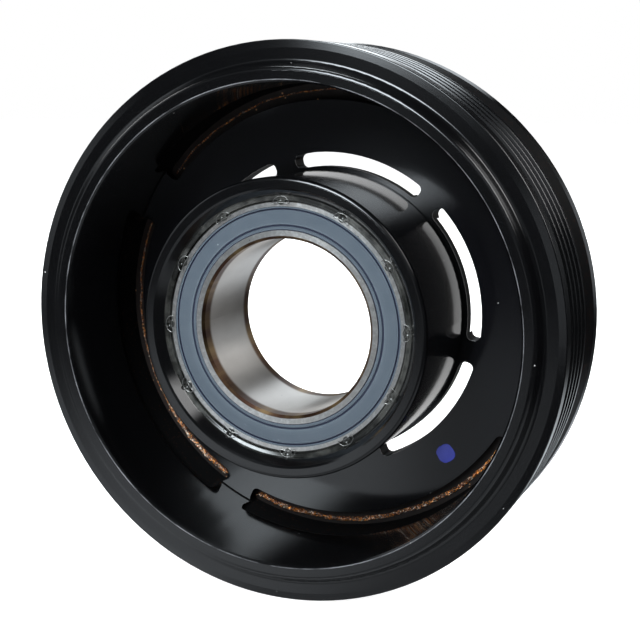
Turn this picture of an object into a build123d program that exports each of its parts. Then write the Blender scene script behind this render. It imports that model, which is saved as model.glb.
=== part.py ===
from build123d import *
import math
import os

# Clutch pulley of an automotive air-conditioning compressor, with its sealed double-row ball bearing.
# The frame: origin at the centre of the bearing bore, +Y along the axis towards the friction face,
# -Y towards the coil side, +Z up. Every outline below is drawn as (radius, y) and turned about Y.
# Lengths are in millimetres and angles in degrees, measured from +X towards +Z.

# Bearing
BORE_R = 17.5
BEARING_R = 25.0
BEARING_WIDTH = 22.0
BALL_R = 4.762 / 2
BALL_CIRCLE_R = 21.25
BALLS_PER_ROW = 20
ROW_OFFSET = 4.7
RACE_CLEARANCE = 0.05
POCKET_CLEARANCE = 0.08
INNER_LAND_R = 19.9
OUTER_LAND_R = 22.6
BORE_CHAMFER = 0.5
RING_CHAMFER = 0.4
LAND_STEP = 0.6

# Seals
SEAL_SEAT_Y = 9.0
SEAL_FACE_Y = 10.8
SEAL_SEAT_R = 23.8
SEAL_LAND_R = 19.15
SEAL_CLEARANCE = 0.08
SEAL_CORE_THICKNESS = 0.4
SEAL_CORE_R = (20.4, 23.5)
LIP_GROOVE_R = (19.85, 20.3)
LIP_GROOVE_DEPTH = 0.25
RIM_GROOVE_R = (23.1, 23.45)
RIM_GROOVE_DEPTH = 0.3
GROOVE_WALL = 0.1

# Cages
CAGE_INNER_R = 20.3
CAGE_OUTER_R = 22.2
CAGE_BACK = 3.7
CAGE_PRONG = 0.8

# Hub
HUB_R = 29.6
REAR_Y = -13.65
STAKE_LEDGE_Y = -11.35
STAKE_LEDGE_R = 25.8
HUB_CHAMFER_R = 27.1
HUB_EDGE = 0.4
HUB_EDGE_RADIUS = 0.8
FOOT_GROOVE = 0.5
SHOULDER_R = 24.0
SHOULDER_CHAMFER = 0.6
BOSS_FRONT_Y = 15.4

# Web with its two rings of slots
WEB_REAR_Y = 12.8
FRICTION_Y = 17.4
INNER_SLOT_R = (30.28, 33.2)
INNER_SLOT_COUNT = 6
INNER_SLOT_SPAN = 51.5
INNER_SLOT_START = -8.1
OUTER_SLOT_R = (43.95, 47.3)
OUTER_SLOT_BRIDGES = ((62.0, 8.5), (150.3, 13.5), (242.4, 8.5), (332.0, 8.5))
POCKET_R = 48.1
POCKET_REAR_Y = 6.9
POCKET_SLOPE = 2.6
SLOT_END_RADIUS = 1.2
OVERCUT = 0.1

# Friction lining
LINING_R = (43.2, 48.3)
LINING_BACK_Y = 15.3

# Outer cylinder
CAVITY_R = 47.4
CORNER_GROOVE = 0.25
CORNER_GROOVE_OUTER_R = 47.6
MOUTH_R = 47.8
REAR_LIP_R = 50.0
REAR_LIP_RADIUS = 0.9
RIM_FACE_Y = -11.3
RIM_FACE_R = (51.2, 53.75)
RIM_ROOT_RADIUS = 0.9
RIM_CHAMFER = 0.2

# Belt track: four grooves of the PK section, then a smooth band that widens into a front lip
TIP_R = 55.3
LIP_R = 55.55
LIP_START_Y = 15.0
LIP_CHAMFER = 0.2
FRONT_Y = 17.8
FRONT_STEP_R = (53.4, 53.8)
GROOVE_COUNT = 4
GROOVE_PITCH = 3.56
GROOVE_FIRST_Y = -6.35
GROOVE_DEPTH = 2.6
GROOVE_ROOT = 0.6
GROOVE_HALF_ANGLE = 20.0
TIP_RADIUS = 0.25

# Stakes that lock the bearing into the hub
STAKE_COUNT = 12
STAKE_START = 1.4
STAKE_R = 24.95
STAKE_RADIUS = 0.85
STAKE_LUG_Y = -11.25
DENT_RADIUS = 0.85
DENT_R = 25.3
DENT_Y = -11.9


def polar(radius, angle, y=0.0):
    """The point at a radius and angle about the Y axis."""
    turn = math.radians(angle)
    return (radius * math.cos(turn), y, radius * math.sin(turn))


def outline(points, rounds=()):
    """A closed (radius, y) outline as a face, with a fillet at each (radius, y, fillet radius) of rounds."""
    face = make_face(Polyline(*points, close=True))
    for r, y, radius in rounds:
        corner = face.vertices().sort_by_distance(Vector(r, y, 0))[0]
        face = fillet(corner, radius)
    return face


def turned(points, rounds=()):
    """An outline turned once about Y."""
    return revolve(outline(points, rounds), Axis.Y)


def mirrored(solid):
    """The front twin of a rear piece."""
    return mirror(solid, Plane.XZ)


def slot_cutter(points, start, span):
    """An outline turned through the arc from a start angle, with its long corners rounded."""
    body = revolve(outline(points), Axis.Y, revolution_arc=span)
    ends = [e for e in body.edges() if e.geom_type == GeomType.LINE and abs(e.tangent_at(0.5).Y) > 0.9]
    body = fillet(ends, SLOT_END_RADIUS)
    return body.rotate(Axis.Y, -start - span)


def groove_points(centre):
    """The four corners of one belt groove, from the rear tip to the front tip."""
    half = GROOVE_DEPTH * math.tan(math.radians(GROOVE_HALF_ANGLE)) + GROOVE_ROOT / 2
    root_r = TIP_R - GROOVE_DEPTH
    return [
        (TIP_R, centre - half),
        (root_r, centre - GROOVE_ROOT / 2),
        (root_r, centre + GROOVE_ROOT / 2),
        (TIP_R, centre + half),
    ]


def hub_points():
    """Hub outline from the shoulder in front of the bearing, along the bore, to the foot of the hub."""
    return [
        (SHOULDER_R + SHOULDER_CHAMFER, BOSS_FRONT_Y),
        (SHOULDER_R, BOSS_FRONT_Y - SHOULDER_CHAMFER),
        (SHOULDER_R, BEARING_WIDTH / 2),
        (BEARING_R, BEARING_WIDTH / 2),
        (BEARING_R, STAKE_LEDGE_Y),
        (STAKE_LEDGE_R, STAKE_LEDGE_Y),
        (HUB_CHAMFER_R, REAR_Y + HUB_EDGE),
        (HUB_CHAMFER_R + HUB_EDGE, REAR_Y),
        (HUB_R, REAR_Y),
        (HUB_R, WEB_REAR_Y + FOOT_GROOVE),
        (HUB_R + FOOT_GROOVE, WEB_REAR_Y + FOOT_GROOVE),
        (HUB_R + FOOT_GROOVE, WEB_REAR_Y),
    ]


def cavity_points():
    """Web corner groove, cavity wall, rear lip and rear rim face."""
    return [
        (CAVITY_R - CORNER_GROOVE, WEB_REAR_Y),
        (CAVITY_R - CORNER_GROOVE, WEB_REAR_Y + CORNER_GROOVE),
        (CORNER_GROOVE_OUTER_R, WEB_REAR_Y + CORNER_GROOVE),
        (CORNER_GROOVE_OUTER_R, WEB_REAR_Y - CORNER_GROOVE),
        (CAVITY_R, WEB_REAR_Y - CORNER_GROOVE),
        (CAVITY_R, REAR_Y + MOUTH_R - CAVITY_R),
        (MOUTH_R, REAR_Y),
        (REAR_LIP_R, REAR_Y),
        (RIM_FACE_R[0], RIM_FACE_Y),
        (RIM_FACE_R[1], RIM_FACE_Y),
        (TIP_R, RIM_FACE_Y + RIM_CHAMFER),
    ]


def front_points():
    """Front band and lip, friction face with the lining groove, and the step down to the boss."""
    return [
        (TIP_R, LIP_START_Y),
        (LIP_R, FRONT_Y - LIP_CHAMFER),
        (LIP_R - LIP_CHAMFER, FRONT_Y),
        (FRONT_STEP_R[1], FRONT_Y),
        (FRONT_STEP_R[0], FRICTION_Y),
        (LINING_R[1], FRICTION_Y),
        (LINING_R[1], LINING_BACK_Y),
        (LINING_R[0], LINING_BACK_Y),
        (LINING_R[0], FRICTION_Y),
        (INNER_SLOT_R[0], FRICTION_Y),
        (INNER_SLOT_R[0], BOSS_FRONT_Y),
    ]


def rotor_blank():
    """The rotor before slots and stakes: hub, web and outer cylinder in one turned piece."""
    grooves = []
    rounds = [
        (HUB_R, REAR_Y, HUB_EDGE_RADIUS),
        (REAR_LIP_R, REAR_Y, REAR_LIP_RADIUS),
        (RIM_FACE_R[0], RIM_FACE_Y, RIM_ROOT_RADIUS),
        (TIP_R, RIM_FACE_Y + RIM_CHAMFER, TIP_RADIUS),
    ]
    for index in range(GROOVE_COUNT):
        corners = groove_points(GROOVE_FIRST_Y + index * GROOVE_PITCH)
        grooves += corners
        for tip_r, tip_y in (corners[0], corners[3]):
            rounds.append((tip_r, tip_y, TIP_RADIUS))
    return turned(hub_points() + cavity_points() + grooves + front_points(), rounds)


def inner_slots():
    """Cutters of the through slots next to the hub."""
    near, far = INNER_SLOT_R
    back = WEB_REAR_Y - OVERCUT
    front = FRICTION_Y + OVERCUT
    points = [(near, back), (far, back), (far, front), (near, front)]
    pitch = 360 / INNER_SLOT_COUNT
    return [
        slot_cutter(points, INNER_SLOT_START + index * pitch, INNER_SLOT_SPAN)
        for index in range(INNER_SLOT_COUNT)
    ]


def outer_slots():
    """Cutters of the slots behind the lining, whose forged pockets run up the cavity wall."""
    near, far = OUTER_SLOT_R
    points = [
        (near, POCKET_REAR_Y),
        (CAVITY_R - OVERCUT, POCKET_REAR_Y),
        (POCKET_R, POCKET_REAR_Y + POCKET_SLOPE),
        (far, LINING_BACK_Y + OVERCUT),
        (near, LINING_BACK_Y + OVERCUT),
    ]
    cutters = []
    for index, (centre, width) in enumerate(OUTER_SLOT_BRIDGES):
        next_centre, next_width = OUTER_SLOT_BRIDGES[(index + 1) % len(OUTER_SLOT_BRIDGES)]
        start = centre + width / 2
        end = next_centre - next_width / 2
        cutters.append(slot_cutter(points, start, (end - start) % 360))
    return cutters


def stake(angle):
    """The lug of one stake, hub metal pushed over the bearing's edge."""
    place = Pos(*polar(STAKE_R, angle, (STAKE_LUG_Y - BEARING_WIDTH / 2) / 2)) * Rot(90, 0, 0)
    return place * Cylinder(STAKE_RADIUS, -STAKE_LUG_Y - BEARING_WIDTH / 2)


def rotor():
    """The finished rotor."""
    body = rotor_blank()
    for cutter in inner_slots() + outer_slots():
        body -= cutter
    for index in range(STAKE_COUNT):
        body += stake(STAKE_START + index * 360 / STAKE_COUNT)
    for index in range(STAKE_COUNT):
        angle = STAKE_START + index * 360 / STAKE_COUNT
        body -= Pos(*polar(DENT_R, angle, DENT_Y)) * Sphere(DENT_RADIUS)
    return body


def friction_lining():
    """The lining ring, flush with the friction face."""
    inner, outer = LINING_R
    return turned([(inner, LINING_BACK_Y), (outer, LINING_BACK_Y), (outer, FRICTION_Y), (inner, FRICTION_Y)])


def race(row_y):
    """The ring-shaped space that one row of balls runs in."""
    return Rot(90, 0, 0) * Torus(BALL_CIRCLE_R, BALL_R + RACE_CLEARANCE).moved(Location((0, 0, -row_y)))


def inner_ring():
    """Inner ring with two races and a seal land at each end."""
    half = BEARING_WIDTH / 2
    points = [
        (BORE_R, -half),
        (SEAL_LAND_R, -half),
        (SEAL_LAND_R, -SEAL_SEAT_Y),
        (INNER_LAND_R, -SEAL_SEAT_Y + LAND_STEP),
        (INNER_LAND_R, SEAL_SEAT_Y - LAND_STEP),
        (SEAL_LAND_R, SEAL_SEAT_Y),
        (SEAL_LAND_R, half),
        (BORE_R, half),
    ]
    ring = turned(points)
    bore_edges = [e for e in ring.edges() if e.geom_type == GeomType.CIRCLE and abs(e.radius - BORE_R) < 0.01]
    ring = chamfer(bore_edges, BORE_CHAMFER)
    return ring - race(-ROW_OFFSET) - race(ROW_OFFSET)


def outer_ring():
    """Outer ring with two races and a seal seat at each end."""
    half = BEARING_WIDTH / 2
    points = [
        (SEAL_SEAT_R, -half),
        (BEARING_R, -half),
        (BEARING_R, half),
        (SEAL_SEAT_R, half),
        (SEAL_SEAT_R, SEAL_SEAT_Y),
        (OUTER_LAND_R, SEAL_SEAT_Y),
        (OUTER_LAND_R, -SEAL_SEAT_Y),
        (SEAL_SEAT_R, -SEAL_SEAT_Y),
    ]
    ring = turned(points)
    circles = [edge for edge in ring.edges() if edge.geom_type == GeomType.CIRCLE]
    rim_edges = [edge for edge in circles if abs(edge.radius - BEARING_R) < 0.01]
    ring = chamfer(rim_edges, RING_CHAMFER)
    return ring - race(-ROW_OFFSET) - race(ROW_OFFSET)


def ball(row_y, index):
    """One ball in its place on the ball circle."""
    return Pos(*polar(BALL_CIRCLE_R, index * 360 / BALLS_PER_ROW, row_y)) * Sphere(BALL_R)


def cage():
    """The rear row's crown cage: a ring behind the balls with a prong between each two."""
    back = -ROW_OFFSET - CAGE_BACK
    tip = -ROW_OFFSET + CAGE_PRONG
    body = turned([(CAGE_INNER_R, back), (CAGE_OUTER_R, back), (CAGE_OUTER_R, tip), (CAGE_INNER_R, tip)])
    body = body.rotate(Axis.Y, 180 / BALLS_PER_ROW)
    for index in range(BALLS_PER_ROW):
        place = Pos(*polar(BALL_CIRCLE_R, index * 360 / BALLS_PER_ROW, -ROW_OFFSET)) * Rot(90, 0, 0)
        body -= place * Sphere(BALL_R + POCKET_CLEARANCE)
    return body


def seal_core():
    """The rear seal's steel stiffener, on the side of the balls."""
    inside = -SEAL_SEAT_Y
    outside = inside - SEAL_CORE_THICKNESS
    inner, outer = SEAL_CORE_R
    return turned([(inner, outside), (outer, outside), (outer, inside), (inner, inside)])


def ring_groove(radii, face, depth):
    """The outline of one shallow ring groove in a seal's face."""
    inner, outer = radii
    return [
        (inner, face),
        (inner + GROOVE_WALL, face + depth),
        (outer - GROOVE_WALL, face + depth),
        (outer, face),
    ]


def seal_rubber():
    """The rear seal's rubber: a lip at the inner ring, a flat face, and a bead in the outer ring's seat."""
    lip_r = SEAL_LAND_R + SEAL_CLEARANCE
    back = -SEAL_SEAT_Y - SEAL_CORE_THICKNESS
    face = -SEAL_FACE_Y
    lip_groove = ring_groove(LIP_GROOVE_R, face, LIP_GROOVE_DEPTH)
    rim_groove = ring_groove(RIM_GROOVE_R, face, RIM_GROOVE_DEPTH)
    faces = [(lip_r, face)] + lip_groove + rim_groove + [(SEAL_SEAT_R, face)]
    return turned([(lip_r, back)] + faces + [(SEAL_SEAT_R, back)])


os.makedirs("parts", exist_ok=True)

parts = {
    "rotor": rotor(),
    "friction_lining": friction_lining(),
    "bearing_inner_ring": inner_ring(),
    "bearing_outer_ring": outer_ring(),
}
rear_pieces = {"cage": cage(), "seal_core": seal_core(), "seal_rubber": seal_rubber()}
for name, solid in rear_pieces.items():
    parts[name + "_rear"] = solid
    parts[name + "_front"] = mirrored(solid)
for index in range(BALLS_PER_ROW):
    parts[f"ball_rear_{index + 1:02d}"] = ball(-ROW_OFFSET, index)
    parts[f"ball_front_{index + 1:02d}"] = ball(ROW_OFFSET, index)

for name, solid in parts.items():
    solid.label = name
    export_step(solid, f"parts/{name}.step")
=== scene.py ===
import math
import random

import bpy
from mathutils import Matrix, Vector, noise


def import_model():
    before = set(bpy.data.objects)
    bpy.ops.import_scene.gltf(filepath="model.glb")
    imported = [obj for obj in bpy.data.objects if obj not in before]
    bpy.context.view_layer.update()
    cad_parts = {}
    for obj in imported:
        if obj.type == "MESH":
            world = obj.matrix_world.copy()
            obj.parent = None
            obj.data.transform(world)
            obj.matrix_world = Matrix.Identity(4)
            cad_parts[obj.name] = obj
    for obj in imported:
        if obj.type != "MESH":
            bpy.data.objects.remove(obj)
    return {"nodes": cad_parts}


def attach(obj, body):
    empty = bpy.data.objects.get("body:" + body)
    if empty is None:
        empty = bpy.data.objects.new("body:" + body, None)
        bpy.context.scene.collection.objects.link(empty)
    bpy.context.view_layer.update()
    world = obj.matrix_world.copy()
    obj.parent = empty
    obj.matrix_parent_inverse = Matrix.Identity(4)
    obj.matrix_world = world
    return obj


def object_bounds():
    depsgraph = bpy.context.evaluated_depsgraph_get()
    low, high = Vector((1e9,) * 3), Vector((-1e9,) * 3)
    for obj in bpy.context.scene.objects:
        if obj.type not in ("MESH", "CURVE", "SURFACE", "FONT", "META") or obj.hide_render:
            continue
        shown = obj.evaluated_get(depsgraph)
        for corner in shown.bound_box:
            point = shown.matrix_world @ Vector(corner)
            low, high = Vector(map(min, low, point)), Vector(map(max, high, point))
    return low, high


# Clutch pulley of a car air-conditioning compressor, seen from its coil side.
# Lengths are in metres, in the frame of the CAD model: +Y along the axis towards the friction face,
# +Z up. Angles are in degrees. On the pulley they run about its axis from +X towards +Z; for the camera
# and the lights, azimuth runs from -Y towards +X and elevation upwards.
MM = 0.001

# Camera
VIEW_AZIMUTH = 21.19
VIEW_ELEVATION = 9.51
VIEW_DISTANCE = 266.9 * MM
VIEW_RIGHT = 6.71 * MM
VIEW_UP = 1.56 * MM
REAR_RIM_Y = -10.66 * MM
LENS_MM = 76.93
SENSOR_MM = 36.0
CLIP = (0.01, 50.0)

# Studio
FLOOR_REACH = 4.0
CARD_R = (30 * MM, 48 * MM)
CARD_Y = 65 * MM
CARD_RADIANCE = 0.7
CARD_POINTS = 64
LIGHT_DISTANCE = 0.9
SOFT_EDGE = 0.3
WHITE = (1.0, 1.0, 1.0)
COOL_WHITE = (0.86, 0.94, 1.0)
PALE_BLUE_WHITE = (0.9, 0.96, 1.0)
# Soft boxes: name, azimuth, elevation, width, height, radiance, colour
SOFT_BOXES = (
    ("key", -7, 36, 0.50, 0.72, 20.0, COOL_WHITE),
    ("overhead", -150, 68, 0.46, 0.42, 10.0, PALE_BLUE_WHITE),
    ("back_strip", -166, 11, 0.34, 0.18, 2.2, PALE_BLUE_WHITE),
    ("side_right", 88, 40, 0.60, 0.55, 5.0, WHITE),
    ("side_back", 128, 28, 0.50, 0.55, 6.0, WHITE),
    ("side_left", -118, 30, 0.55, 0.50, 5.0, WHITE),
)
ROOM_COLOUR = (0.88, 0.94, 1.0, 1)
# Brightness of the room: everywhere, on the side of the coil, below, low on the side of the friction
# face, and in a band above the camera. Each part grows from nothing to full between the two values of
# y or z of a direction that are given with it. The band lies between its own two
ROOM_LEVEL = 0.012
FRONT_LEVEL = 0.04
FRONT_Y = (0.3, -0.2)
GROUND_LEVEL = 0.45
GROUND_Z = (-0.35, -0.6)
BEHIND_LEVEL = 0.05
BEHIND_Y = (-0.1, 0.3)
BEHIND_Z = (-0.15, -0.3)
BROW_LEVEL = 0.15
BROW_Z = (0.42, 0.6)
BROW_SOFT = 0.1
# Bright patches of the room: azimuth, elevation, angle of the core and of the edge, radiance
PATCHES = (
    (-25, -16, 3, 9, 1.1),
    (-14, -16, 3, 8, 0.35),
    (-52, 4, 7, 16, 0.6),
    (-76, 27, 8, 18, 0.8),
    (28, 24, 7, 16, 0.6),
    (-8, 20, 2, 6, 3.0),
    (-48, -27, 8, 19, 0.9),
    (2, -4, 3, 10, 0.5),
    (188, 27, 5, 12, 1.3),
    (154, 4, 3, 14, 0.35),
    (178, -26, 6, 15, 0.7),
)

# Rotor
WEB_REAR_Y = 12.8 * MM
WEB_HAZE_R = (32.0 * MM, 47.2 * MM)
CAVITY_R = 47.4 * MM
MOUTH_EDGE_R = (47.74 * MM, 47.86 * MM)
MOUTH_EDGE_Y = (-13.4 * MM, -13.2 * MM)
POCKET_Y = (6.9 * MM, 15.3 * MM)
SLOT_WALL_R = (30.15 * MM, 48.2 * MM)
LEDGE_Y = -11.35 * MM
LEDGE_R = 25.9 * MM
LEDGE_HOLLOW_WIDTH = 1.0 * MM
LEDGE_HOLLOW_DEPTH = 0.4 * MM
FRICTION_Y = 17.4 * MM
FRICTION_R = (30.3 * MM, 53.5 * MM)
LATHE_STRETCH = 0.02 * MM
EDGE_SOFT = 0.001 * MM
# Rounded edges of the hub, the rear lip and the foot of the lip. Each row has the radius and y of the
# circle's centre, the radii and the y between which the edge lies, and 1 where it is convex or -1 where
# it is hollow
ROUNDED_EDGES = (
    (28.8 * MM, -12.85 * MM, (28.8 * MM, 29.7 * MM), (-13.8 * MM, -12.85 * MM), 1),
    (49.45 * MM, -12.75 * MM, (49.45 * MM, 50.25 * MM), (-13.8 * MM, -13.1 * MM), 1),
    (51.75 * MM, -12.2 * MM, (50.95 * MM, 51.75 * MM), (-11.9 * MM, -11.2 * MM), -1),
)

# Slots behind the friction lining: the angle where each starts, how far it runs, and how much of the
# lining compound was pressed out into it at its start and at its end
LINING_SLOTS = (
    (66.25, 77.3, 0.05, 0.15),
    (157.05, 81.1, 0.12, 1.0),
    (246.65, 81.1, 0.75, 0.6),
    (336.25, 81.5, 0.5, 0.1),
)
LINING_BACK_Y = 15.3 * MM
BEAD_R = 45.95 * MM
BEAD_WIDTH = 1.0 * MM
BEAD_HEIGHT = 0.62 * MM
BEAD_END_GAP = 0.9
BEAD_END_FADE = 1.2
BEAD_LUMPS = 0.45
BEAD_CRUMBS = 0.4
BEAD_WANDER = 0.3 * MM
BEAD_STEPS_PER_DEGREE = 8
BEAD_ROWS = 10
# Chips in the compound. More of them stay, and they are larger, where more compound was pressed out
CHIPS_PER_DEGREE = 18
CHIP_LIFT = 0.02 * MM
CHIP_SIZE = (0.06 * MM, 0.14 * MM)
CHIP_GROWTH = 0.12 * MM
CHIP_SLOPE = 0.55
CHIP_BASE_CHANCE = 0.15
CHIP_END_GAP = 0.5

# Stakes that hold the bearing: each is a half moon with its chord towards the bearing
STAKE_COUNT = 12
STAKE_START = 1.4
STAKE_CHORD_R = 24.25 * MM
STAKE_DEPTH = 1.5 * MM
STAKE_HALF_WIDTH = 1.65 * MM
STAKE_SHAKE = 0.07 * MM
STAKE_ARC_SHARE = 0.6
STAKE_CHORD_BULGE = 0.18
STAKE_POINTS = 44
BURR_THICKNESS = 0.085 * MM
BURR_SIDES = 8

# Bearing rings: the distance from the middle where the side faces are, and where the stain at the ends
# of the inner ring's bore lies
RING_FACE_Y = (10.7 * MM, 10.9 * MM)
STAIN_R = (18.0 * MM, 18.12 * MM)
STAIN_Y = (8.1 * MM, 9.3 * MM)
STAIN_WAVE = 1.2 * MM

# Painted shade on the seals: dark lines in the lip groove, the rim groove and the gap at the inner ring
SEAL_SHADE_LINES = ((19.95 * MM, 20.2 * MM), (23.15 * MM, 23.4 * MM), (19.1 * MM, 19.3 * MM))

# Paint mark
MARK_ANGLE = 312.4
MARK_R = 38.7 * MM
MARK_RADIUS = 1.95 * MM
MARK_THICKNESS = 0.05 * MM
MARK_POINTS = 72
MARK_SQUARENESS = 0.05
MARK_WOBBLE = 0.06
# Thickness of the paint as a share of the thickest: in the middle, and on rings at a share of the radius
MARK_MIDDLE = 0.8
MARK_RINGS = ((0.35, 0.82), (0.7, 0.95), (0.88, 1.0), (0.96, 0.7), (1.0, 0.0))

# Colours, as linear red, green and blue. A pair is the darkest and the lightest of a mottled finish
BLACK_PAINT = ((0.0006, 0.0006, 0.0008, 1), (0.0018, 0.0018, 0.0021, 1))
WEB_HAZE = ((0.001, 0.001, 0.0013, 1), (0.0045, 0.0045, 0.006, 1))
# Light grey for the mouth edge: a painted highlight, standing in for the bright line that the edge reflects
PAINTED_MOUTH_HIGHLIGHT = (0.16, 0.16, 0.17, 1)
LINING_CRUMBS = (0.035, 0.012, 0.006, 1)
DUST = (0.4, 0.39, 0.38, 1)
TURNED_STEEL = ((0.20, 0.195, 0.19, 1), (0.42, 0.41, 0.40, 1))
OILY_STEEL = ((0.012, 0.0125, 0.011, 1), (0.10, 0.10, 0.092, 1))
PRESSED_LINING = ((0.0025, 0.0011, 0.0006, 1), (0.012, 0.0045, 0.002, 1))
GROUND_LINING = ((0.022, 0.011, 0.006, 1), (0.075, 0.038, 0.02, 1))
LINING_FIBRES = (0.14, 0.085, 0.05, 1)
LINING_COPPER = (0.62, 0.34, 0.17, 1)
BEAD_BROWN = ((0.008, 0.003, 0.0015, 1), (0.07, 0.018, 0.006, 1))
BEAD_COPPER = (0.95, 0.36, 0.08, 1)
CHIP_METALS = ((1.0, 0.36, 0.07, 1), (1.0, 0.85, 0.7, 1))
RING_STEEL = ((0.44, 0.42, 0.40, 1), (0.74, 0.72, 0.69, 1))
RING_FACE_CLOUD = (0.55, 0.55, 0.54, 1)
RING_FACE_FLECKS = (0.93, 0.93, 0.92, 1)
BORE_STAIN = ((0.075, 0.038, 0.026, 1), (0.25, 0.17, 0.085, 1))
SEAL_BLUE = ((0.042, 0.058, 0.076, 1), (0.064, 0.08, 0.098, 1))
SEAL_RINGS = (0.076, 0.096, 0.115, 1)
SEAL_SCUFFS = (0.2, 0.24, 0.26, 1)
SEAL_SPECKS = (0.26, 0.3, 0.31, 1)
# Dark navy for the painted shade in the seal grooves and the gap at the inner ring
SEAL_SHADE_BLUE = (0.010, 0.013, 0.034, 1)
CORE_STEEL = ((0.3, 0.3, 0.3, 1), (0.5, 0.5, 0.49, 1))
BALL_STEEL = ((0.55, 0.55, 0.55, 1), (0.78, 0.78, 0.79, 1))
POLYAMIDE = ((0.5, 0.42, 0.28, 1), (0.66, 0.58, 0.42, 1))
MARK_BLUE = ((0.03, 0.045, 0.42, 1), (0.05, 0.07, 0.55, 1))
BURR_STEEL = ((0.12, 0.12, 0.115, 1), (0.55, 0.54, 0.52, 1))
PALE_FLOOR = ((0.86, 0.86, 0.86, 1), (0.9, 0.9, 0.9, 1))


def on_axis(radius, angle, y=0.0):
    """The point at a radius and an angle about the Y axis."""
    turn = math.radians(angle)
    return Vector((radius * math.cos(turn), y, radius * math.sin(turn)))


def sky_direction(azimuth, elevation):
    """The direction out from the object at an azimuth from -Y towards +X and an elevation."""
    a = math.radians(azimuth)
    e = math.radians(elevation)
    return Vector((math.sin(a) * math.cos(e), -math.cos(a) * math.cos(e), math.sin(e)))


# Node helpers


class Graph:
    """A node tree with short calls for the nodes that the materials here use."""

    def __init__(self, tree):
        self.tree = tree
        tree.nodes.clear()

    def node(self, kind, inputs=(), **settings):
        """Adds a node, changes its settings and feeds its inputs, which are named or numbered."""
        made = self.tree.nodes.new("ShaderNode" + kind)
        for name, value in settings.items():
            setattr(made, name, value)
        for key, value in dict(inputs).items():
            self.feed(made.inputs[key], value)
        return made

    def feed(self, socket, value):
        """Links a socket to an output, or sets its own value."""
        if isinstance(value, bpy.types.NodeSocket):
            self.tree.links.new(value, socket)
        else:
            socket.default_value = value

    def math(self, operation, a, b=0.0, clamp=False):
        made = self.node("Math", {0: a, 1: b}, operation=operation, use_clamp=clamp)
        return made.outputs[0]

    def step(self, value, low, high):
        """0 below low and 1 above high, smoothly between. With low above high it falls instead."""
        made = self.node(
            "MapRange", {0: value, 1: low, 2: high}, interpolation_type="SMOOTHSTEP", clamp=True
        )
        return made.outputs[0]

    def inside(self, value, low, high, soft):
        """1 between low and high, fading to 0 over the soft width outside them."""
        rise = self.step(value, low - soft, low)
        fall = self.step(value, high + soft, high)
        return self.math("MULTIPLY", rise, fall)

    def both(self, *masks):
        """1 where every mask is 1."""
        result = masks[0]
        for mask in masks[1:]:
            result = self.math("MULTIPLY", result, mask)
        return result

    def noise(self, vector, scale, detail=3.0, rough=0.5, distortion=0.0):
        inputs = {
            "Vector": vector,
            "Scale": scale,
            "Detail": detail,
            "Roughness": rough,
            "Distortion": distortion,
        }
        return self.node("TexNoise", inputs).outputs[0]

    def mix(self, factor, a, b):
        """Mixes two colours."""
        made = self.node("Mix", {0: factor, 6: a, 7: b}, data_type="RGBA")
        return made.outputs[2]

    def blend(self, factor, a, b):
        """Mixes two numbers."""
        made = self.node("Mix", {0: factor, 2: a, 3: b}, data_type="FLOAT")
        return made.outputs[0]

    def vector(self, x, y, z):
        return self.node("CombineXYZ", {0: x, 1: y, 2: z}).outputs[0]

    def split(self, vector):
        return self.node("SeparateXYZ", {0: vector}).outputs

    def bump(self, height, distance, normal=None):
        inputs = {"Height": height, "Distance": distance, "Strength": 1.0}
        if normal is not None:
            inputs["Normal"] = normal
        return self.node("Bump", inputs).outputs[0]

    def coords(self):
        """Object coordinates, which are the CAD model's own."""
        return self.node("TexCoord").outputs["Object"]

    def place(self):
        """Object coordinates, the distance from the axis, the place along it and the angle round it."""
        coords = self.coords()
        x, y, z = self.split(coords)
        squares = self.math("ADD", self.math("MULTIPLY", x, x), self.math("MULTIPLY", z, z))
        radius = self.math("SQRT", squares)
        angle = self.math("ARCTAN2", z, x)
        return coords, radius, y, angle

    def edge_normal(self, edges):
        """The surface normal, taken from the circle's centre on the rounded edges of a turned part."""
        coords, radius, y, _ = self.place()
        x, _, z = self.split(coords)
        normal = self.node("NewGeometry").outputs["Normal"]
        for centre_r, centre_y, reach_r, reach_y, side in edges:
            outward = self.math("MULTIPLY", self.math("SUBTRACT", radius, centre_r), side)
            along = self.math("MULTIPLY", self.math("SUBTRACT", y, centre_y), side)
            share = self.math("DIVIDE", outward, radius)
            ray = self.vector(self.math("MULTIPLY", x, share), along, self.math("MULTIPLY", z, share))
            unit = self.node("VectorMath", {0: ray}, operation="NORMALIZE").outputs[0]
            frames = {"convert_from": "OBJECT", "convert_to": "WORLD"}
            turned = self.node("VectorTransform", {0: unit}, vector_type="NORMAL", **frames).outputs[0]
            on_edge = self.both(
                self.inside(radius, reach_r[0], reach_r[1], EDGE_SOFT),
                self.inside(y, reach_y[0], reach_y[1], EDGE_SOFT),
            )
            mixed = self.node("Mix", {0: on_edge, 4: normal, 5: turned}, data_type="VECTOR")
            normal = mixed.outputs[1]
        return normal

    def specks(self, vector, scale, share, size):
        """Small spots in a share of the cells of a Voronoi grid. Their size is in cells."""
        cell = self.node("TexVoronoi", {"Vector": vector, "Scale": scale}, feature="F1")
        draw = self.node("SeparateColor", {0: cell.outputs["Color"]}).outputs[0]
        lucky = self.math("GREATER_THAN", self.math("ADD", draw, share), 1.0)
        return self.math("MULTIPLY", lucky, self.step(cell.outputs["Distance"], size, size * 0.6))


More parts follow.
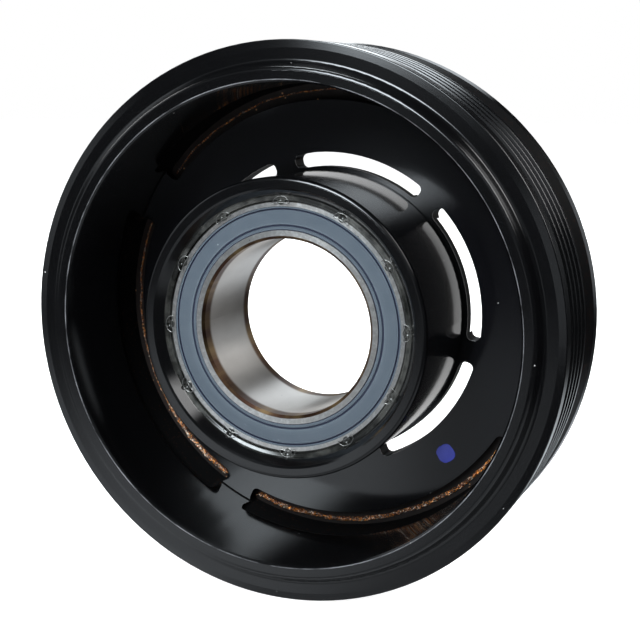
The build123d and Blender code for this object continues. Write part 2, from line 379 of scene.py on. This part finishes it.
def surface(name, anisotropy=0.0, coat=0.0, coat_roughness=0.1, ior=1.5, specular=0.5):
    """A material with one Principled shader, and its graph. Constants go on the shader's own sockets."""
    material = bpy.data.materials.new(name)
    material.use_nodes = True
    graph = Graph(material.node_tree)
    shader = graph.node("BsdfPrincipled")
    graph.node("OutputMaterial", {"Surface": shader.outputs[0]})
    shader.inputs["IOR"].default_value = ior
    shader.inputs["Specular IOR Level"].default_value = specular
    shader.inputs["Coat Weight"].default_value = coat
    shader.inputs["Coat Roughness"].default_value = coat_roughness
    if anisotropy:
        shader.inputs["Anisotropic"].default_value = anisotropy
        shader.inputs["Anisotropic Rotation"].default_value = 0.25
        tangent = graph.node("Tangent", direction_type="RADIAL", axis="Y")
        graph.feed(shader.inputs["Tangent"], tangent.outputs[0])
    return material, graph, shader


# Materials


def lathe_marks(graph, radius, y, angle, scale):
    """Rings left by turning: noise that changes fast across the cut and slowly along it."""
    along = graph.math("MULTIPLY", angle, LATHE_STRETCH)
    return graph.noise(graph.vector(radius, y, along), scale, detail=4.0, rough=0.65)


def rotor_zones(graph, radius, y):
    """Masks of the friction face, the ledge round the bearing, the web, and the walls of the slots."""
    friction = graph.both(
        graph.step(y, FRICTION_Y - 0.25 * MM, FRICTION_Y - 0.05 * MM),
        graph.inside(radius, FRICTION_R[0], FRICTION_R[1], 0.02 * MM),
    )
    ledge = graph.both(
        graph.step(y, LEDGE_Y + 0.8 * MM, LEDGE_Y + 0.5 * MM),
        graph.step(radius, LEDGE_R + 0.15 * MM, LEDGE_R),
    )
    web = graph.both(
        graph.inside(y, WEB_REAR_Y - 0.1 * MM, WEB_REAR_Y + 0.1 * MM, 0.1 * MM),
        graph.inside(radius, WEB_HAZE_R[0], WEB_HAZE_R[1], 0.3 * MM),
    )
    pocket = graph.both(
        graph.step(radius, CAVITY_R + 0.04 * MM, CAVITY_R + 0.1 * MM),
        graph.inside(y, POCKET_Y[0], POCKET_Y[1], 0.1 * MM),
    )
    walls = graph.both(
        graph.inside(radius, SLOT_WALL_R[0], SLOT_WALL_R[1], 0.1 * MM),
        graph.inside(y, WEB_REAR_Y + 0.15 * MM, FRICTION_Y - 0.2 * MM, 0.05 * MM),
    )
    return friction, ledge, web, graph.math("MAXIMUM", pocket, walls)


def rotor_colour(graph, place, coarse, cloudy, dust, zones):
    """Black paint, hazy on the web, with bare steel, lining crumbs and a painted highlight in patches on
    the mouth edge.
    """
    coords, radius, y, _ = place
    friction, ledge, web, slots = zones
    black = graph.mix(cloudy, *BLACK_PAINT)
    haze = graph.mix(coarse, *WEB_HAZE)
    black = graph.mix(web, black, haze)
    crumbs = graph.specks(coords, scale=2300.0, share=0.14, size=0.36)
    black = graph.mix(graph.both(slots, crumbs), black, LINING_CRUMBS)
    steel = graph.mix(coarse, *TURNED_STEEL)
    oily = graph.mix(graph.step(cloudy, 0.42, 0.62), *OILY_STEEL)
    colour = graph.mix(friction, black, steel)
    colour = graph.mix(ledge, colour, oily)
    # Painted highlight: light grey in patches on the mouth edge, standing in for the bright line that it
    # reflects
    wear_and_highlight = graph.both(
        graph.inside(radius, MOUTH_EDGE_R[0], MOUTH_EDGE_R[1], 0.06 * MM),
        graph.step(y, MOUTH_EDGE_Y[1], MOUTH_EDGE_Y[0]),
        graph.step(cloudy, 0.3, 0.7),
    )
    colour = graph.mix(dust, colour, DUST)
    return graph.mix(wear_and_highlight, colour, PAINTED_MOUTH_HIGHLIGHT)


def rotor_paint():
    """Gloss black over turned steel, bare steel on the friction face, oily steel round the bearing."""
    material, graph, shader = surface("rotor_paint", anisotropy=0.75, coat=1.0, specular=0.06)
    place = graph.place()
    coords, radius, y, angle = place
    fine = lathe_marks(graph, radius, y, angle, scale=5200.0)
    coarse = lathe_marks(graph, radius, y, angle, scale=1100.0)
    cloudy = graph.noise(coords, scale=160.0, detail=5.0, rough=0.6)
    peel = graph.noise(coords, scale=700.0, detail=2.0)
    zones = rotor_zones(graph, radius, y)
    friction, ledge, _, slots = zones

    dust = graph.math(
        "MAXIMUM",
        graph.specks(coords, scale=260.0, share=0.05, size=0.05),
        graph.specks(coords, scale=520.0, share=0.03, size=0.07),
    )
    colour = rotor_colour(graph, place, coarse, cloudy, dust, zones)
    graph.feed(shader.inputs["Base Color"], colour)
    graph.feed(shader.inputs["Coat Weight"], graph.blend(slots, 1.0, 0.06))

    metal = graph.math("ADD", friction, graph.math("MULTIPLY", ledge, 0.7), clamp=True)
    graph.feed(shader.inputs["Metallic"], metal)

    gloss = graph.blend(fine, 0.26, 0.4)
    rough = graph.blend(friction, gloss, graph.blend(fine, 0.28, 0.5))
    rough = graph.blend(ledge, rough, graph.blend(cloudy, 0.35, 0.5))
    rough = graph.blend(graph.math("MAXIMUM", dust, slots), rough, 0.7)
    graph.feed(shader.inputs["Roughness"], rough)

    height = graph.math("ADD", graph.math("MULTIPLY", fine, 0.3), coarse)
    height = graph.math("ADD", height, graph.math("MULTIPLY", peel, 0.5))
    bump = graph.bump(height, distance=0.0012 * MM, normal=graph.edge_normal(ROUNDED_EDGES))
    hollow = graph.step(radius, LEDGE_R - LEDGE_HOLLOW_WIDTH, LEDGE_R)
    bump = graph.bump(hollow, distance=LEDGE_HOLLOW_DEPTH, normal=bump)
    graph.feed(shader.inputs["Normal"], bump)
    graph.feed(shader.inputs["Coat Normal"], bump)
    return material


def friction_compound():
    """Moulded compound with fibres and copper chips, nearly black as pressed and brown where ground."""
    material, graph, shader = surface("friction_lining", ior=1.45)
    coords = graph.coords()
    _, y, _ = graph.split(coords)
    grain = graph.noise(coords, scale=2400.0, detail=6.0, rough=0.7)
    blotch = graph.noise(coords, scale=500.0, detail=3.0)
    ground = graph.step(y, FRICTION_Y - 0.3 * MM, FRICTION_Y - 0.1 * MM)
    share = graph.blend(ground, 0.03, 0.16)
    chips = graph.specks(coords, scale=1500.0, share=share, size=0.34)
    pressed = graph.mix(blotch, *PRESSED_LINING)
    wear_and_highlight = graph.mix(blotch, *GROUND_LINING)
    wear_and_highlight = graph.mix(graph.step(grain, 0.5, 0.75), wear_and_highlight, LINING_FIBRES)
    brown = graph.mix(ground, pressed, wear_and_highlight)
    graph.feed(shader.inputs["Base Color"], graph.mix(chips, brown, LINING_COPPER))
    graph.feed(shader.inputs["Metallic"], chips)
    rough = graph.blend(chips, graph.blend(grain, 0.45, 0.75), 0.28)
    graph.feed(shader.inputs["Roughness"], rough)
    height = graph.math("ADD", grain, graph.math("MULTIPLY", chips, 0.5))
    graph.feed(shader.inputs["Normal"], graph.bump(height, distance=0.09 * MM))
    return material


def bead_compound():
    """The same compound where it squeezed out: dark red-brown, glazed, with copper dust."""
    material, graph, shader = surface("lining_bead", coat=0.3, coat_roughness=0.2, ior=1.45)
    coords = graph.coords()
    grain = graph.noise(coords, scale=2200.0, detail=4.0, rough=0.6)
    blotch = graph.noise(coords, scale=900.0, detail=3.0)
    brown = graph.mix(graph.step(blotch, 0.35, 0.6), *BEAD_BROWN)
    dust = graph.step(grain, 0.57, 0.62)
    graph.feed(shader.inputs["Base Color"], graph.mix(dust, brown, BEAD_COPPER))
    graph.feed(shader.inputs["Metallic"], graph.math("MULTIPLY", dust, 0.8))
    graph.feed(shader.inputs["Roughness"], graph.blend(grain, 0.25, 0.5))
    graph.feed(shader.inputs["Normal"], graph.bump(grain, distance=0.12 * MM))
    return material


def ring_steel(name, bore_stain):
    """Ground bearing steel. The inner ring's bore edge carries a brown stain."""
    material, graph, shader = surface(name, anisotropy=0.5)
    coords, radius, y, angle = graph.place()
    fine = lathe_marks(graph, radius, y, angle, scale=6500.0)
    coarse = lathe_marks(graph, radius, y, angle, scale=1500.0)
    cloudy = graph.noise(coords, scale=210.0, detail=5.0, rough=0.6)
    mottle = graph.noise(coords, scale=1300.0, detail=4.0, rough=0.6)
    lengthwise = graph.vector(graph.math("MULTIPLY", angle, 3.0), graph.math("MULTIPLY", y, 60.0), 0.0)
    bands = graph.noise(lengthwise, scale=1.0)
    steel = graph.mix(bands, *RING_STEEL)
    reach = graph.math("ABSOLUTE", y)
    face = graph.step(reach, *RING_FACE_Y)
    flecks = graph.both(face, graph.step(mottle, 0.4, 0.75), 0.55)
    steel = graph.mix(graph.both(face, graph.step(cloudy, 0.35, 0.65)), steel, RING_FACE_CLOUD)
    steel = graph.mix(flecks, steel, RING_FACE_FLECKS)
    rough = graph.blend(mottle, 0.24, 0.36)
    if bore_stain:
        wave = graph.noise(graph.vector(angle, 0.0, 0.0), scale=1.3, detail=3.0)
        wavy = graph.math("ADD", reach, graph.math("MULTIPLY", wave, STAIN_WAVE))
        edge = graph.both(graph.step(radius, STAIN_R[1], STAIN_R[0]), graph.step(wavy, *STAIN_Y))
        streak = graph.noise(graph.vector(angle, 0.0, y), scale=2.6, detail=4.0)
        stain = graph.mix(graph.step(streak, 0.42, 0.66), *BORE_STAIN)
        steel = graph.mix(edge, steel, stain)
        rough = graph.blend(edge, rough, 0.34)
    graph.feed(shader.inputs["Base Color"], steel)
    graph.feed(shader.inputs["Roughness"], rough)
    shader.inputs["Metallic"].default_value = 1.0
    height = graph.math("ADD", fine, graph.math("MULTIPLY", coarse, 0.6))
    graph.feed(shader.inputs["Normal"], graph.bump(height, distance=0.0015 * MM))
    return material


def seal_rubber():
    """Smooth slate-blue rubber with a faint bloom, painted shade as dark lines in its grooves, and fine
    mould marks.
    """
    material, graph, shader = surface("seal_rubber", ior=1.48)
    coords, radius, y, angle = graph.place()
    bloom = graph.noise(coords, scale=260.0, detail=5.0, rough=0.6)
    grain = graph.noise(coords, scale=5200.0, detail=3.0)
    rings = lathe_marks(graph, radius, y, angle, scale=1800.0)
    specks = graph.specks(coords, scale=420.0, share=0.03, size=0.12)
    scuffs = graph.step(graph.noise(coords, scale=700.0, detail=5.0, rough=0.7, distortion=1.2), 0.64, 0.72)
    blue = graph.mix(bloom, *SEAL_BLUE)
    blue = graph.mix(graph.step(rings, 0.45, 0.8), blue, SEAL_RINGS)
    blue = graph.mix(graph.math("MULTIPLY", scuffs, 0.3), blue, SEAL_SCUFFS)
    blue = graph.mix(specks, blue, SEAL_SPECKS)
    # Painted shade: dark navy lines in the seal grooves and in the gap at the inner ring
    for inner, outer in SEAL_SHADE_LINES:
        mask = graph.inside(radius, inner, outer, 0.05 * MM)
        blue = graph.mix(mask, blue, SEAL_SHADE_BLUE)
    graph.feed(shader.inputs["Base Color"], blue)
    graph.feed(shader.inputs["Roughness"], graph.blend(bloom, 0.3, 0.44))
    height = graph.math("ADD", graph.math("MULTIPLY", grain, 0.4), rings)
    graph.feed(shader.inputs["Normal"], graph.bump(height, distance=0.006 * MM))
    return material


def seal_steel():
    """Pressed and lightly oiled sheet steel."""
    material, graph, shader = surface("seal_steel", anisotropy=0.4)
    coords, radius, y, angle = graph.place()
    rings = lathe_marks(graph, radius, y, angle, scale=2600.0)
    cloudy = graph.noise(coords, scale=300.0, detail=4.0)
    graph.feed(shader.inputs["Base Color"], graph.mix(cloudy, *CORE_STEEL))
    graph.feed(shader.inputs["Roughness"], graph.blend(rings, 0.28, 0.45))
    graph.feed(shader.inputs["Normal"], graph.bump(rings, distance=0.002 * MM))
    shader.inputs["Metallic"].default_value = 1.0
    return material


def ball_steel():
    """Lapped bearing balls with a film of grease."""
    material, graph, shader = surface("ball_steel")
    film = graph.noise(graph.coords(), scale=500.0, detail=3.0)
    graph.feed(shader.inputs["Base Color"], graph.mix(film, *BALL_STEEL))
    graph.feed(shader.inputs["Roughness"], graph.blend(film, 0.06, 0.16))
    shader.inputs["Metallic"].default_value = 1.0
    return material


def cage_polyamide():
    """Glass-filled polyamide in its natural colour."""
    material, graph, shader = surface("cage_polyamide")
    fibres = graph.noise(graph.coords(), scale=1800.0, detail=4.0, rough=0.7, distortion=1.5)
    graph.feed(shader.inputs["Base Color"], graph.mix(fibres, *POLYAMIDE))
    graph.feed(shader.inputs["Roughness"], graph.blend(fibres, 0.45, 0.65))
    graph.feed(shader.inputs["Normal"], graph.bump(fibres, distance=0.01 * MM))
    return material


def mark_paint():
    """Blue inspection paint, a little uneven from the brush."""
    material, graph, shader = surface("paint_mark")
    brush = graph.noise(graph.coords(), scale=900.0, detail=4.0)
    graph.feed(shader.inputs["Base Color"], graph.mix(brush, *MARK_BLUE))
    graph.feed(shader.inputs["Roughness"], graph.blend(brush, 0.35, 0.55))
    graph.feed(shader.inputs["Normal"], graph.bump(brush, distance=0.02 * MM))
    return material


def chip_metal():
    """Copper and brass chips set in the lining compound."""
    material, graph, shader = surface("lining_chips")
    hue = graph.noise(graph.coords(), scale=1600.0, detail=2.0)
    graph.feed(shader.inputs["Base Color"], graph.mix(graph.step(hue, 0.45, 0.58), *CHIP_METALS))
    graph.feed(shader.inputs["Roughness"], graph.blend(hue, 0.38, 0.55))
    shader.inputs["Metallic"].default_value = 1.0
    return material


def burr_steel():
    """Bright raised steel where the stakes were struck."""
    material, graph, shader = surface("stake_steel")
    film = graph.noise(graph.coords(), scale=1500.0, detail=4.0)
    graph.feed(shader.inputs["Base Color"], graph.mix(film, *BURR_STEEL))
    graph.feed(shader.inputs["Roughness"], graph.blend(film, 0.22, 0.45))
    graph.feed(shader.inputs["Normal"], graph.bump(film, distance=0.01 * MM))
    shader.inputs["Metallic"].default_value = 1.0
    return material


# Pieces


def mesh_piece(name, vertices, faces, material, smooth=True):
    """A mesh object that rides on the pulley, with the material that it is given."""
    mesh = bpy.data.meshes.new(name)
    mesh.from_pydata([tuple(v) for v in vertices], [], faces)
    mesh.validate()
    mesh.polygons.foreach_set("use_smooth", [smooth] * len(mesh.polygons))
    mesh.materials.append(material)
    piece = bpy.data.objects.new(name, mesh)
    bpy.context.scene.collection.objects.link(piece)
    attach(piece, "pulley")
    return piece


def bead_swell(angle, start, span, first, last):
    """How much compound there is at an angle of a slot, from 0 to about 1."""
    share = (angle - start) / span
    trend = first + (last - first) * share * share
    ends = max(0.0, min(1.0, (angle - start) / BEAD_END_FADE, (start + span - angle) / BEAD_END_FADE))
    lumps = noise.fractal(Vector((angle * 1.1, start, 4.0)), 1.0, 2.1, 4)
    return max(0.0, trend * (1 + BEAD_LUMPS * lumps)) * math.sqrt(ends)


def bead_point(angle, across, start, span, first, last):
    """A point on the bead, from its inner edge, across = -1, to its outer edge, across = 1."""
    swell = bead_swell(angle, start, span, first, last)
    half = 0.5 * BEAD_WIDTH * (0.25 + 0.85 * swell)
    wander = BEAD_WANDER * noise.noise(Vector((angle * 0.16, start, 9.0)))
    crumbs = noise.fractal(Vector((angle * 3.1, across * 1.4, start)), 1.0, 2.1, 3)
    dome = math.sqrt(max(0.0, 1 - across * across))
    height = BEAD_HEIGHT * (0.18 + 0.82 * swell) * dome * (1 + BEAD_CRUMBS * crumbs)
    return on_axis(BEAD_R + wander + half * across, angle, LINING_BACK_Y - max(0.0, height))


def lining_bead(index, slot, material):
    """The lumpy ridge of lining compound that was pressed out into a slot."""
    start = slot[0] + BEAD_END_GAP
    span = slot[1] - 2 * BEAD_END_GAP
    steps = int(span * BEAD_STEPS_PER_DEGREE)
    vertices = []
    faces = []
    for i in range(steps + 1):
        for j in range(BEAD_ROWS + 1):
            across = 2 * j / BEAD_ROWS - 1
            vertices.append(bead_point(start + span * i / steps, across, start, span, *slot[2:]))
    for i in range(steps):
        for j in range(BEAD_ROWS):
            a = i * (BEAD_ROWS + 1) + j
            faces.append((a, a + 1, a + BEAD_ROWS + 2, a + BEAD_ROWS + 1))
    return mesh_piece(f"lining_bead_{index}", vertices, faces, material)


def chip_corners(centre, size, axis_a, axis_b, draw):
    """An irregular flat chip of four or five corners."""
    count = draw.choice((4, 5))
    turn = draw.uniform(0, math.tau)
    corners = []
    for k in range(count):
        angle = turn + math.tau * k / count
        reach = size * draw.uniform(0.55, 1.0)
        corners.append(centre + axis_a * math.cos(angle) * reach + axis_b * math.sin(angle) * reach * 0.7)
    return corners


def lining_chips(index, slot, material):
    """Metal chips that stick out of the bead and catch the light."""
    draw = random.Random(index)
    start = slot[0] + BEAD_END_GAP
    span = slot[1] - 2 * BEAD_END_GAP
    vertices = []
    faces = []
    for _ in range(int(span * CHIPS_PER_DEGREE)):
        angle = draw.uniform(start + CHIP_END_GAP, start + span - CHIP_END_GAP)
        across = draw.uniform(-0.9, 0.9)
        swell = bead_swell(angle, start, span, *slot[2:])
        if draw.random() > CHIP_BASE_CHANCE + swell:
            continue
        centre = bead_point(angle, across, start, span, *slot[2:]) + Vector((0, -CHIP_LIFT, 0))
        normal = Vector((draw.gauss(0.1, CHIP_SLOPE), -1, draw.gauss(0.4, CHIP_SLOPE))).normalized()
        axis_a = normal.orthogonal().normalized()
        axis_b = normal.cross(axis_a)
        size = draw.uniform(CHIP_SIZE[0], CHIP_SIZE[1] + CHIP_GROWTH * swell)
        first = len(vertices)
        vertices += chip_corners(centre, size, axis_a, axis_b, draw)
        faces.append(tuple(range(first, len(vertices))))
    return mesh_piece(f"lining_chips_{index}", vertices, faces, material, smooth=False)


def stake_outline(index):
    """The closed outline of one stake mark: an arc from one end of the chord, and back along the chord."""
    angle = STAKE_START + 360 * index / STAKE_COUNT
    out = on_axis(1.0, angle)
    side = Vector((-out.z, 0, out.x))
    middle = on_axis(STAKE_CHORD_R, angle, LEDGE_Y)
    points = []
    for i in range(STAKE_POINTS):
        share = i / STAKE_POINTS
        if share < STAKE_ARC_SHARE:
            turn = math.pi * share / STAKE_ARC_SHARE
            across = math.cos(turn) * STAKE_HALF_WIDTH
            depth = math.sin(turn) ** 0.8 * STAKE_DEPTH
        else:
            along = (share - STAKE_ARC_SHARE) / (1 - STAKE_ARC_SHARE)
            across = (2 * along - 1) * STAKE_HALF_WIDTH
            depth = math.sin(math.pi * along) * STAKE_CHORD_BULGE * STAKE_DEPTH
        shake = STAKE_SHAKE * noise.noise(Vector((share * 9, index * 3.7, 0)))
        points.append(middle + side * across + out * (depth + shake))
    return points


def stake_burr(index, material):
    """The raised rim of metal round one stake mark."""
    draw = random.Random(100 + index)
    points = stake_outline(index)
    rearward = Vector((0, -1, 0))
    vertices = []
    faces = []
    for i in range(STAKE_POINTS):
        along = (points[(i + 1) % STAKE_POINTS] - points[i - 1]).normalized()
        ray = along.cross(rearward)
        thick = BURR_THICKNESS * draw.uniform(0.7, 1.25)
        for k in range(BURR_SIDES):
            phase = math.tau * k / BURR_SIDES
            vertices.append(points[i] + ray * math.cos(phase) * thick + rearward * math.sin(phase) * thick)
    for i in range(STAKE_POINTS):
        here = i * BURR_SIDES
        there = (i + 1) % STAKE_POINTS * BURR_SIDES
        for k in range(BURR_SIDES):
            after = (k + 1) % BURR_SIDES
            faces.append((here + k, here + after, there + after, there + k))
    return mesh_piece(f"stake_burr_{index:02d}", vertices, faces, material)


def paint_mark(material):
    """A dab of paint on the web: an uneven outline and a rounded, slightly thicker edge."""
    centre = on_axis(MARK_R, MARK_ANGLE, WEB_REAR_Y)
    vertices = [centre + Vector((0, -MARK_THICKNESS * MARK_MIDDLE, 0))]
    faces = []
    for share, thickness in MARK_RINGS:
        for k in range(MARK_POINTS):
            turn = math.tau * k / MARK_POINTS
            square = MARK_SQUARENESS * math.cos(4 * turn + 0.6)
            wobble = MARK_WOBBLE * noise.noise(Vector((2.2 * math.cos(turn), 2.2 * math.sin(turn), 5.0)))
            reach = MARK_RADIUS * share * (1 + square + wobble)
            offset = Vector((math.cos(turn) * reach, -MARK_THICKNESS * thickness, math.sin(turn) * reach))
            vertices.append(centre + offset)
    for k in range(MARK_POINTS):
        faces.append((0, 1 + k, 1 + (k + 1) % MARK_POINTS))
    for ring in range(len(MARK_RINGS) - 1):
        inner = 1 + ring * MARK_POINTS
        outer = inner + MARK_POINTS
        for k in range(MARK_POINTS):
            after = (k + 1) % MARK_POINTS
            faces.append((inner + k, outer + k, outer + after, inner + after))
    return mesh_piece("paint_mark", vertices, faces, material)


# Studio


def camera():
    """The camera at the photograph's viewing angle."""
    a = math.radians(VIEW_AZIMUTH)
    right = Vector((math.cos(a), math.sin(a), 0))
    back = sky_direction(VIEW_AZIMUTH, VIEW_ELEVATION)
    up = back.cross(right)
    data = bpy.data.cameras.new("camera")
    data.lens = LENS_MM
    data.sensor_width = SENSOR_MM
    data.clip_start, data.clip_end = CLIP
    made = bpy.data.objects.new("camera", data)
    place = Vector((0, REAR_RIM_Y, 0)) + back * VIEW_DISTANCE + right * VIEW_RIGHT + up * VIEW_UP
    turn = Matrix((right, up, back)).transposed().to_4x4()
    made.matrix_world = Matrix.Translation(place) @ turn
    bpy.context.scene.collection.objects.link(made)
    bpy.context.scene.camera = made


def softbox(name, azimuth, elevation, width, height, radiance, colour):
    """A rectangular soft light that points at the object and fades towards its edges."""
    data = bpy.data.lights.new(name, "AREA")
    data.shape = "RECTANGLE"
    data.size = width
    data.size_y = height
    data.energy = radiance * math.pi * width * height
    data.color = colour
    data.use_nodes = True
    graph = Graph(data.node_tree)
    across, up, _ = graph.split(graph.node("NewGeometry").outputs["Parametric"])
    fade = graph.both(
        graph.inside(across, SOFT_EDGE, 1 - SOFT_EDGE, SOFT_EDGE),
        graph.inside(up, SOFT_EDGE, 1 - SOFT_EDGE, SOFT_EDGE),
    )
    graph.node("OutputLight", {"Surface": graph.node("Emission", {"Strength": fade}).outputs[0]})
    made = bpy.data.objects.new(name, data)
    direction = sky_direction(azimuth, elevation)
    made.location = direction * LIGHT_DISTANCE
    made.rotation_mode = "QUATERNION"
    made.rotation_quaternion = direction.to_track_quat("Z", "Y")
    made.visible_camera = False
    bpy.context.scene.collection.objects.link(made)


def world():
    """White for the camera. For the object it is a dim room with a pale floor and a few bright patches."""
    made = bpy.data.worlds.new("studio")
    made.use_nodes = True
    bpy.context.scene.world = made
    graph = Graph(made.node_tree)
    direction = graph.node("TexCoord").outputs["Generated"]
    _, y, z = graph.split(direction)
    front = graph.step(y, *FRONT_Y)
    ground = graph.step(z, *GROUND_Z)
    behind = graph.both(graph.step(y, *BEHIND_Y), graph.step(z, *BEHIND_Z))
    brow = graph.both(front, graph.inside(z, *BROW_Z, BROW_SOFT))
    level = ROOM_LEVEL
    regions = ((front, FRONT_LEVEL), (ground, GROUND_LEVEL), (behind, BEHIND_LEVEL), (brow, BROW_LEVEL))
    for region, share in regions:
        level = graph.math("ADD", level, graph.math("MULTIPLY", region, share))
    for azimuth, elevation, core, edge, radiance in PATCHES:
        aim = {0: direction, 1: sky_direction(azimuth, elevation)}
        cosine = graph.node("VectorMath", aim, operation="DOT_PRODUCT").outputs["Value"]
        patch = graph.step(cosine, math.cos(math.radians(edge)), math.cos(math.radians(core)))
        level = graph.math("ADD", level, graph.math("MULTIPLY", patch, radiance))
    lit = graph.node("Background", {"Color": ROOM_COLOUR, "Strength": level})
    plain = graph.node("Background", {"Color": (*WHITE, 1), "Strength": 1.0})
    seen = graph.node("LightPath").outputs["Is Camera Ray"]
    both = graph.node("MixShader", {0: seen, 1: lit.outputs[0], 2: plain.outputs[0]})
    graph.node("OutputWorld", {"Surface": both.outputs[0]})


def floor_material():
    """A pale floor that glows to white, with a trace of mottling."""
    material, graph, shader = surface("pale_floor")
    tone = graph.noise(graph.coords(), scale=3.0, detail=2.0)
    graph.feed(shader.inputs["Base Color"], graph.mix(tone, *PALE_FLOOR))
    graph.feed(shader.inputs["Roughness"], 0.9)
    graph.feed(shader.inputs["Emission Color"], (*WHITE, 1))
    graph.feed(shader.inputs["Emission Strength"], graph.blend(tone, 0.97, 1.0))
    return material


def floor(level):
    """A wide pale floor under the pulley."""
    corners = [(x * FLOOR_REACH, y * FLOOR_REACH, level) for x, y in ((-1, -1), (1, -1), (1, 1), (-1, 1))]
    mesh = bpy.data.meshes.new("floor")
    mesh.from_pydata(corners, [], [(0, 1, 2, 3)])
    mesh.materials.append(floor_material())
    made = bpy.data.objects.new("floor", mesh)
    bpy.context.scene.collection.objects.link(made)
    made.visible_glossy = False


def back_card():
    """A small ring-shaped card behind the pulley. It lights the slots and shows in the foot of the hub."""
    vertices = []
    faces = []
    for k in range(CARD_POINTS):
        angle = 360 * k / CARD_POINTS
        vertices += [on_axis(CARD_R[0], angle, CARD_Y), on_axis(CARD_R[1], angle, CARD_Y)]
        here = 2 * k
        there = 2 * ((k + 1) % CARD_POINTS)
        faces.append((here, here + 1, there + 1, there))
    mesh = bpy.data.meshes.new("back_card")
    mesh.from_pydata([tuple(v) for v in vertices], [], faces)
    material, graph, shader = surface("card")
    graph.feed(shader.inputs["Base Color"], (0.0, 0.0, 0.0, 1))
    graph.feed(shader.inputs["Emission Color"], (*WHITE, 1))
    graph.feed(shader.inputs["Emission Strength"], CARD_RADIANCE)
    mesh.materials.append(material)
    made = bpy.data.objects.new("back_card", mesh)
    bpy.context.scene.collection.objects.link(made)
    made.visible_camera = False


def studio(floor_level):
    """The floor, the soft lights and the surroundings."""
    floor(floor_level)
    for box in SOFT_BOXES:
        softbox(*box)
    back_card()
    world()


# Scene

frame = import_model()
cad_low, cad_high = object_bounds()
scene = bpy.context.scene
scene.view_settings.view_transform = "Standard"

finishes = {
    "rotor": rotor_paint(),
    "friction_lining": friction_compound(),
    "bearing_inner_ring": ring_steel("inner_ring_steel", bore_stain=True),
    "bearing_outer_ring": ring_steel("outer_ring_steel", bore_stain=False),
}
group_finishes = {
    "ball_": ball_steel(),
    "cage_": cage_polyamide(),
    "seal_rubber_": seal_rubber(),
    "seal_core_": seal_steel(),
}
for name, node in frame["nodes"].items():
    finish = finishes.get(name)
    for start, shared in group_finishes.items():
        if name.startswith(start):
            finish = shared
    for slot in node.material_slots:
        slot.material = finish

bead_material = bead_compound()
chips_material = chip_metal()
for index, lining_slot in enumerate(LINING_SLOTS, 1):
    lining_bead(index, lining_slot, bead_material)
    lining_chips(index, lining_slot, chips_material)

stake_material = burr_steel()
for index in range(STAKE_COUNT):
    stake_burr(index, stake_material)
paint_mark(mark_paint())

studio(cad_low.z)
camera()
